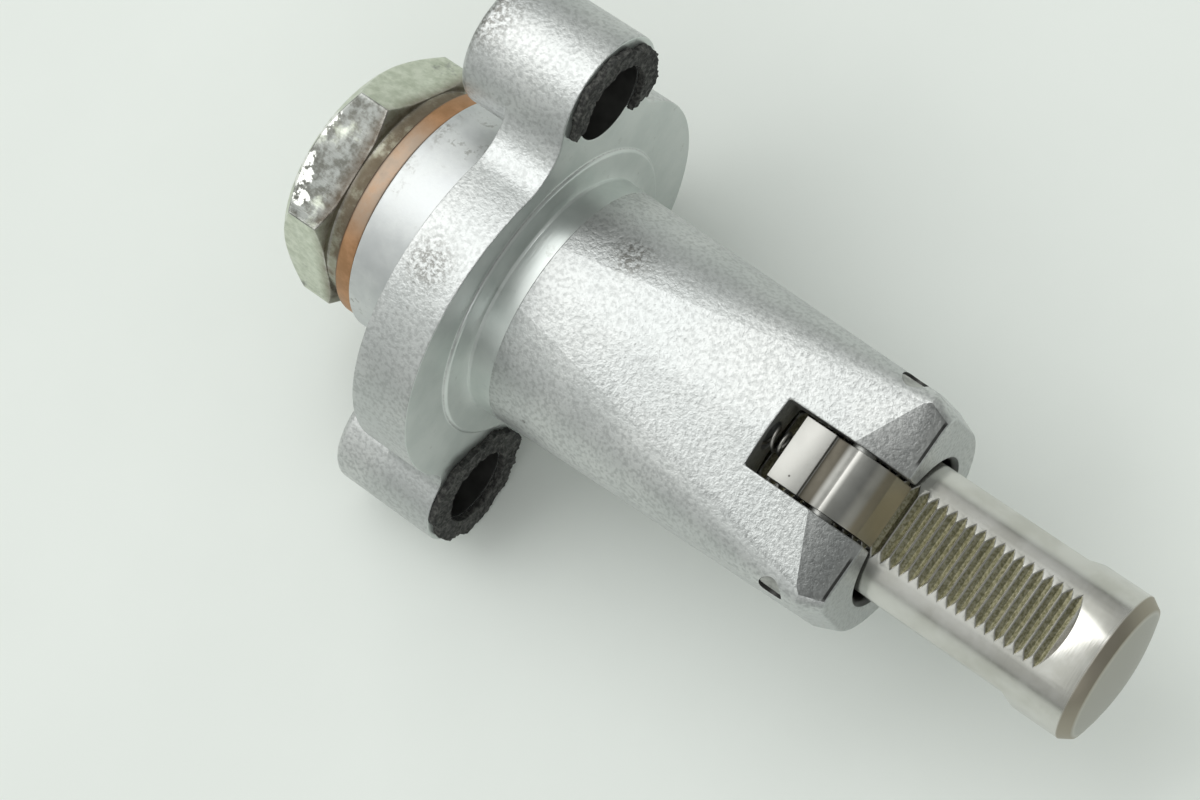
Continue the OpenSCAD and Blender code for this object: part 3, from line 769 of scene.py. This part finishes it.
def zinc_plating():
    f = Finish("worn_zinc_plating", (0.55, 0.58, 0.48), 0.9, 0.36)
    patches = f.noise(240, 5.0, 0.65)
    fine = f.noise(1300, 4.0, 0.65)
    scratches = f.noise(1.0, 4.0, 0.7, f.stretched((300, 2600, 2600)))
    plate = f.colour(f.band(fine, 0.3, 0.7), (0.50, 0.54, 0.43), (0.68, 0.71, 0.60))
    # One flat gets a painted reflection, dark grey in patches, mixed with random wear.
    facet = f.band(f.along(DARK_REFLECTION_FACET), DARK_REFLECTION_FACET_REACH - 0.12 * MM, DARK_REFLECTION_FACET_REACH - 0.04 * MM)
    placed_tint_mask = f.sums("MULTIPLY", facet, f.band(patches, 0.36, 0.50, 0.45, 1.0))
    worn = f.sums("MAXIMUM", placed_tint_mask, f.band(patches, 0.60, 0.68, 0.0, 0.7))
    reflection_and_wear_tint = f.colour(f.band(fine, 0.35, 0.62), (0.13, 0.13, 0.115), (0.27, 0.28, 0.265))
    greyed = f.colour(worn, plate, reflection_and_wear_tint)
    # Painted glints: white spots near the hexagon's rear rim.
    glints = 0.0
    for centre, radius in PAINTED_GLINT_SPOTS:
        glints = f.sums("MAXIMUM", glints, f.smudge(centre, radius, f.band(fine, 0.38, 0.62)))
    grey = f.colour(f.band(glints, 0.20, 0.40), greyed, (0.90, 0.90, 0.86))
    # Rubbed edges, made bright enough to act as a painted highlight too.
    edges = f.sums("MULTIPLY", f.edge_wear(0.5 * MM), f.band(fine, 0.35, 0.55, 0.3, 1.0))
    bright = f.colour(edges, grey, (0.85, 0.86, 0.82))
    near_washer = f.band(f.axis("X"), *RUST_REACH)
    rust = f.sums("MULTIPLY", near_washer, f.band(patches, 0.40, 0.52, 0.62, 1.0))
    base = f.colour(f.sums("MULTIPLY", rust, 0.85), bright, (0.15, 0.10, 0.06))
    rough = f.sums("ADD", f.sums("MULTIPLY", rust, 0.25), f.band(patches, 0.4, 0.6, 0.28, 0.42))
    height = f.sums("ADD", scratches, f.sums("MULTIPLY", fine, 0.8))
    return f.wear(base, rough, f.bump(height, 0.04 * MM))


bolt = welded_copy("cap_bolt", "cap_bolt_worn", PLANE_ANGLE)
bevel_edges(bolt, BOLT_EDGE, 20, segments=3)
shade_by_angle(bolt, SMOOTH_DEGREES)
stand_for(bolt, "cap_bolt", "housing", zinc_plating())

# %% [markdown]
# The sealing washer
#
# The copper ring is squeezed under the hexagon. Its finish is paler towards the top and darker at
# its two rims. A ring of plain copper colour would look new, so the finish knows where the rims are
# and which side is up.

# %% Sealing washer
WASHER_EDGE = 0.25 * MM
PALE_FROM = (8.0 * MM, 9.6 * MM)
REAR_RIM = (washer_low.x + 0.30 * MM, washer_low.x + 0.05 * MM)
FRONT_RIM = (washer_high.x - 0.22 * MM, washer_high.x - 0.05 * MM)


def copper_dark_at_rims():
    f = Finish("copper_dark_at_rims", (0.52, 0.31, 0.19), 0.9, 0.48)
    along = f.axis("X")
    patches = f.noise(600, 5.0, 0.65)
    lines = f.noise(1.0, 3.0, 0.6, f.stretched((7000, 350, 350)))
    copper = f.colour(f.band(patches, 0.35, 0.65), (0.40, 0.22, 0.11), (0.54, 0.31, 0.17))
    # Paler towards the top by height, and darker at the two rims.
    on_top = f.band(f.axis("Z"), *PALE_FROM)
    placed_tint_mask = f.sums("MULTIPLY", on_top, f.band(patches, 0.3, 0.6, 0.55, 1.0))
    pale = f.colour(placed_tint_mask, copper, (0.41, 0.325, 0.255))
    rims = f.sums("MAXIMUM", f.band(along, *REAR_RIM), f.band(along, *FRONT_RIM))
    base = f.colour(f.sums("MULTIPLY", rims, 0.85), pale, (0.07, 0.045, 0.03))
    return f.wear(base, f.band(patches, 0.3, 0.7, 0.44, 0.56), f.bump(lines, 0.012 * MM))


washer = welded_copy("sealing_washer", "copper_washer", PLANE_ANGLE)
bevel_edges(washer, WASHER_EDGE, 25, segments=3)
shade_by_angle(washer, SMOOTH_DEGREES)
stand_for(washer, "sealing_washer", "housing", copper_dark_at_rims())

# %% [markdown]
# Torn gasket paper
#
# When the part was taken off, the old gasket tore and left black, fibrous scraps on the two bolt
# bosses. A flat plate would look like rubber. The welded copy is remeshed finely and pushed about by
# a cloud pattern, so its faces are rough and its edge is frayed.

# %% Gasket remnants
PAPER_VOXEL = 0.12 * MM
FRAY_SIZE = 0.40 * MM
FRAY_DEPTH = 0.30 * MM
FRAY_LEVEL = 0.6


def gasket_paper():
    f = Finish("gasket_paper", (0.03, 0.03, 0.03), 0.0, 0.9)
    fibres = f.noise(2600, 5.0, 0.7)
    tufts = f.noise(700, 4.0, 0.6)
    base = f.colour(f.band(fibres, 0.4, 0.7), (0.022, 0.022, 0.021), (0.12, 0.12, 0.11))
    return f.wear(base, f.band(tufts, 0.3, 0.7, 0.7, 0.95), f.bump(fibres, 0.15 * MM))


torn_paper = gasket_paper()
frayed = bpy.data.textures.new("frayed_edge", "CLOUDS")
frayed.noise_scale = FRAY_SIZE
frayed.noise_depth = 3

for node, name in (("upper_gasket", "upper_gasket_torn"), ("lower_gasket", "lower_gasket_torn")):
    scrap = welded_copy(node, name)
    apply_modifier(scrap, "REMESH", mode="VOXEL", voxel_size=PAPER_VOXEL)
    apply_modifier(scrap, "DISPLACE", texture=frayed, strength=FRAY_DEPTH, mid_level=FRAY_LEVEL,
                   texture_coords="LOCAL")
    shade_by_angle(scrap, ROUND_DEGREES)
    stand_for(scrap, node, "housing", torn_paper)

# %% [markdown]
# The springs
#
# The main spring is inside the rod and shortens as the rod is pushed in. The pawl spring shows as a
# few turns in the slot. Both are welded copies whose wire is rounded by subdivision.

# %% Springs
spring_steel = dark_steel("spring_wire", (0.42, 0.41, 0.38))
# The last number is the share of its length that a spring keeps at its joint's longer limit.
SPRINGS = [
    ("main_spring", "main_spring_wire", "rod_slide", 0.75),
    ("pawl_spring", "pawl_spring_wire", "pawl_pivot", 0.9),
]

for node, name, joint, keep in SPRINGS:
    low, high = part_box(node)
    coil = welded_copy(node, name)
    apply_modifier(coil, "SUBSURF", levels=1, render_levels=1)
    shade_by_angle(coil, ROUND_DEGREES)
    stand_for(coil, node, "housing", spring_steel)
    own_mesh(coil)

# %% [markdown]
# The floor
#
# The part lies on a plain pale table. A plane is enough, as wide as the eye can see and just below
# the part's lowest point. Its finish varies a little, so that it doesn't look like paper.

# %% Floor
FLOOR_SIZE = 4.0
FLOOR_GAP = 0.1 * MM


def floor_finish():
    f = Finish("pale_table", (0.81, 0.845, 0.81), 0.0, 0.6)
    clouds = f.noise(25, 4.0, 0.6)
    return f.wear(f.colour(f.band(clouds, 0.3, 0.7), (0.80, 0.835, 0.80), (0.825, 0.86, 0.825)))


bpy.ops.object.select_all(action="DESELECT")
bpy.ops.mesh.primitive_plane_add(size=FLOOR_SIZE, location=(0, 0, cad_box[0].z - FLOOR_GAP))
floor = bpy.context.active_object
floor.name = "table_top"
floor.data.materials.append(floor_finish())
print("floor at", round(floor.location.z / MM, 2), "mm")

# %% [markdown]
# The world
#
# Polished steel shows what is round it: a bright window overhead and behind, a room that is darker
# in front, and a thin dark line at the horizon. A picture of a room could be wrapped round the
# scene, but a ramp by height and a softer one from rear to front do the same. The camera and the
# reflections see this room at its full brightness, and the light that it gives to the part is set
# by itself.

# %% World
SKY_LIGHT = 0.73
SKY_STEPS = [(0.0, 0.22), (0.10, 0.62), (0.55, 0.92), (1.0, 0.98)]
SKY_TINT = (0.97, 1.0, 0.97)
DARK_ROOM = 0.32
DARK_FROM = -0.25
DARK_TO = 0.20


def sky_colours(tree, height):
    ramp = tree.nodes.new("ShaderNodeValToRGB")
    tree.links.new(height, ramp.inputs["Fac"])
    steps = ramp.color_ramp.elements
    while len(steps) < len(SKY_STEPS):
        steps.new(0.5)
    for step, (place, level) in zip(steps, SKY_STEPS):
        step.position = place
        step.color = (*(c * level for c in SKY_TINT), 1)
    return ramp.outputs["Color"]


def room_brightness(tree, forward):
    front = tree.nodes.new("ShaderNodeMapRange")
    front.interpolation_type = "SMOOTHSTEP"
    tree.links.new(forward, front.inputs["Value"])
    front.inputs["From Min"].default_value = DARK_FROM
    front.inputs["From Max"].default_value = DARK_TO
    front.inputs["To Min"].default_value = 1.0
    front.inputs["To Max"].default_value = DARK_ROOM
    return front.outputs["Result"]


def larger(tree, first, second):
    node = tree.nodes.new("ShaderNodeMath")
    node.operation = "MAXIMUM"
    tree.links.new(first, node.inputs[0])
    tree.links.new(second, node.inputs[1])
    return node.outputs[0]


def soft_sky():
    world = bpy.data.worlds.new("soft_daylight")
    bpy.context.scene.world = world
    world.use_nodes = True
    tree = world.node_tree
    direction = tree.nodes.new("ShaderNodeTexCoord")
    split = tree.nodes.new("ShaderNodeSeparateXYZ")
    tree.links.new(direction.outputs["Generated"], split.inputs[0])
    colours = sky_colours(tree, split.outputs["Z"])
    dimmed = room_brightness(tree, split.outputs["X"])
    path = tree.nodes.new("ShaderNodeLightPath")
    light = tree.nodes["Background"]
    light.inputs["Strength"].default_value = SKY_LIGHT
    tree.links.new(colours, light.inputs["Color"])
    seen = tree.nodes.new("ShaderNodeBackground")
    tree.links.new(colours, seen.inputs["Color"])
    full = larger(tree, path.outputs["Is Camera Ray"], dimmed)
    tree.links.new(full, seen.inputs["Strength"])
    either = larger(tree, path.outputs["Is Camera Ray"], path.outputs["Is Glossy Ray"])
    mix = tree.nodes.new("ShaderNodeMixShader")
    tree.links.new(either, mix.inputs["Fac"])
    tree.links.new(light.outputs["Background"], mix.inputs[1])
    tree.links.new(seen.outputs["Background"], mix.inputs[2])
    tree.links.new(mix.outputs["Shader"], tree.nodes["World Output"].inputs["Surface"])


soft_sky()
print("the world is", bpy.context.scene.world.name)

# %% [markdown]
# The lamps
#
# A large window light stands above and behind the part, and a small weak one fills the shadows from
# the front. Lamps of this size give soft shadows, as daylight through a window does.

# %% Lamps
# Each lamp has a place and a size in millimetres, and a power in watts.
LAMPS = [
    ("window_light", (-140, 60, 370), (500, 220), 0.60),
    ("low_fill", (220, -260, 220), (200, 120), 0.12),
]


def soft_lamp(name, place, size, watts):
    bpy.ops.object.light_add(type="AREA", location=[c * MM for c in place])
    lamp = bpy.context.active_object
    lamp.name = name
    lamp.data.shape = "RECTANGLE"
    lamp.data.size = size[0] * MM
    lamp.data.size_y = size[1] * MM
    lamp.data.energy = watts
    lamp.rotation_euler = lamp.location.to_track_quat("Z", "Y").to_euler()
    return lamp


for lamp_values in LAMPS:
    lamp = soft_lamp(*lamp_values)
    print(lamp.name, "gives", round(lamp.data.energy, 2), "W")
bpy.context.scene.view_settings.view_transform = "Standard"
